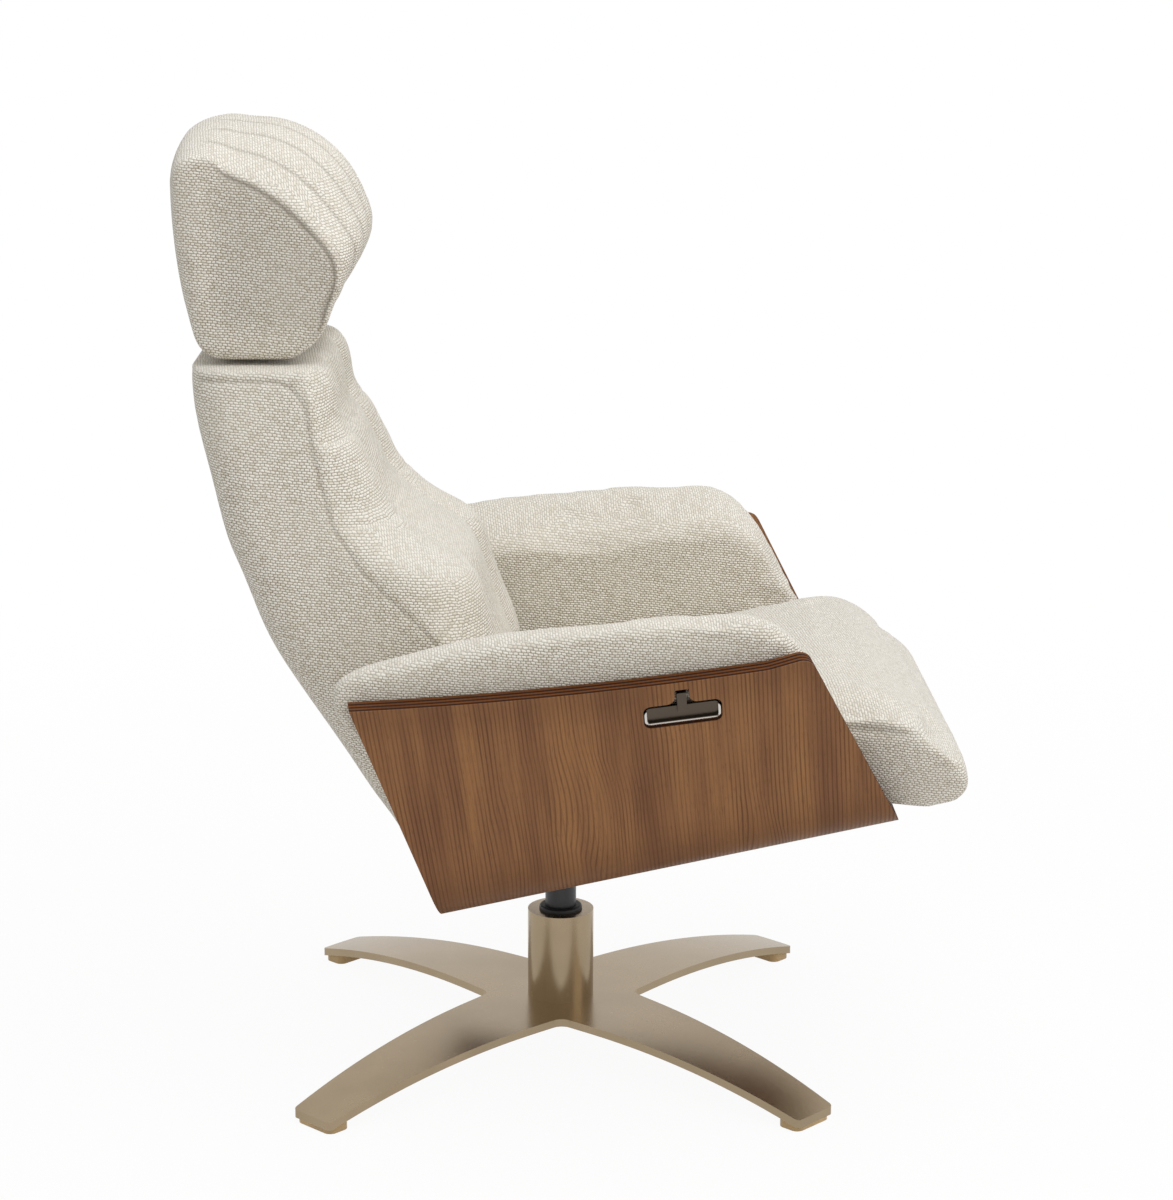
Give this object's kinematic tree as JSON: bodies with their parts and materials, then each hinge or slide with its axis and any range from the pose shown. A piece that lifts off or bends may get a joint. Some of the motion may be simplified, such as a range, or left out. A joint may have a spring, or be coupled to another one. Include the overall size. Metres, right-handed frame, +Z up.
{
  "type": "swivel recliner",
  "caption": "Swivel recliner with a bent-ply shell on a flat cross base, pillowed fabric back, sliding seat, padded arms, release lever and height and tilt headrest.",
  "frame": {"origin": "on the floor under the swivel axis", "axes": "+Z up, front of the chair towards -Y, sitter's right and the release lever towards -X"},
  "size_m": [0.7834, 0.8653, 1.0807],
  "materials": {
    "base_metal": "satin bronze",
    "dark_metal": "satin black",
    "zinc_steel": "bright zinc",
    "lever_metal": "polished rim",
    "black_plastic": "matt",
    "amber_plastic": "smooth",
    "veneered_ply": "stained satin veneer",
    "plain_wood": "planed",
    "cream_fabric": "coarse basket weave",
    "webbing": "woven elastic"
  },
  "bodies": {
    "base": {"base_cross": "base_metal", "foot_glide_front_right": "amber_plastic", "foot_glide_front_left": "amber_plastic", "foot_glide_rear_left": "amber_plastic", "foot_glide_rear_right": "amber_plastic", "column_tube": "base_metal", "column_bolts": "zinc_steel", "upper_bush": "black_plastic", "lower_bush": "black_plastic", "thrust_washer": "black_plastic"},
    "shell": {"spindle": "dark_metal", "swivel_plate": "dark_metal", "swivel_bolts": "zinc_steel", "swivel_nuts": "zinc_steel", "retaining_washer": "zinc_steel", "retaining_clip": "zinc_steel", "ply_shell": "veneered_ply", "mechanism_pan": "dark_metal", "recline_axle": "zinc_steel", "gas_pin": "zinc_steel", "seat_rail_right": "dark_metal", "seat_rail_left": "dark_metal", "arm_pad_right": "cream_fabric", "arm_pad_left": "cream_fabric", "lever_bracket": "dark_metal", "lever_pin": "zinc_steel", "release_cable": "black_plastic"},
    "back": {"back_shell": "cream_fabric", "back_cushion": "cream_fabric", "back_frame": "dark_metal", "back_straps": "webbing", "headrest_guide_right": "black_plastic", "headrest_guide_left": "black_plastic"},
    "seat": {"seat_cushion": "cream_fabric", "seat_frame": "plain_wood", "seat_straps": "webbing", "seat_slider_right": "black_plastic", "seat_slider_left": "black_plastic", "seat_hook_right": "zinc_steel", "seat_hook_left": "zinc_steel"},
    "gas_cylinder": {"gas_cylinder": "dark_metal"},
    "gas_rod": {"gas_rod": "zinc_steel"},
    "headrest_slide": {"headrest_post_right": "zinc_steel", "headrest_post_left": "zinc_steel", "headrest_axle": "zinc_steel"},
    "headrest": {"headrest_core": "plain_wood", "headrest_pad": "cream_fabric"},
    "lever": {"release_lever": "lever_metal"}
  },
  "joints": [
    {"name": "swivel", "type": "hinge", "parent": "base", "child": "shell", "pos_m": [0, 0, 0.1], "axis": [0, 0, 1], "continuous": true},
    {"name": "recline", "type": "hinge", "parent": "shell", "child": "back", "pos_m": [0, 0.1, 0.392], "axis": [-1, 0, 0], "range_deg": [0, 25]},
    {"name": "seat_slide", "type": "slide", "parent": "shell", "child": "seat", "axis": [0, -0.9781, 0.2079], "range_m": [0, 0.037]},
    {"name": "gas_tilt", "type": "hinge", "parent": "shell", "child": "gas_cylinder", "pos_m": [0, -0.15, 0.32303], "axis": [1, 0, 0], "range_deg": [0, 1.2]},
    {"name": "gas_stroke", "type": "slide", "parent": "gas_cylinder", "child": "gas_rod", "axis": [0, 0.998, -0.064], "range_m": [-0.037, 0]},
    {"name": "headrest_height", "type": "slide", "parent": "back", "child": "headrest_slide", "axis": [0, 0.1045, 0.9945], "range_m": [0, 0.06]},
    {"name": "headrest_tilt", "type": "hinge", "parent": "headrest_slide", "child": "headrest", "pos_m": [0, 0.306, 0.849], "axis": [1, 0, 0], "range_deg": [0, 25]},
    {"name": "lever_pull", "type": "hinge", "parent": "shell", "child": "lever", "pos_m": [-0.34196, -0.11696, 0.52162], "axis": [-0.046, 0.9924, -0.1145], "range_deg": [0, 18], "stiffness_Nm_per_rad": 0.4, "springref_deg": -14.32}
  ],
  "couplings": [
    {"joint": "seat_slide", "follows": "recline", "m_per_rad": 0.0843},
    {"joint": "gas_tilt", "follows": "recline", "ratio": 0.046},
    {"joint": "gas_stroke", "follows": "recline", "m_per_rad": -0.0831}
  ]
}
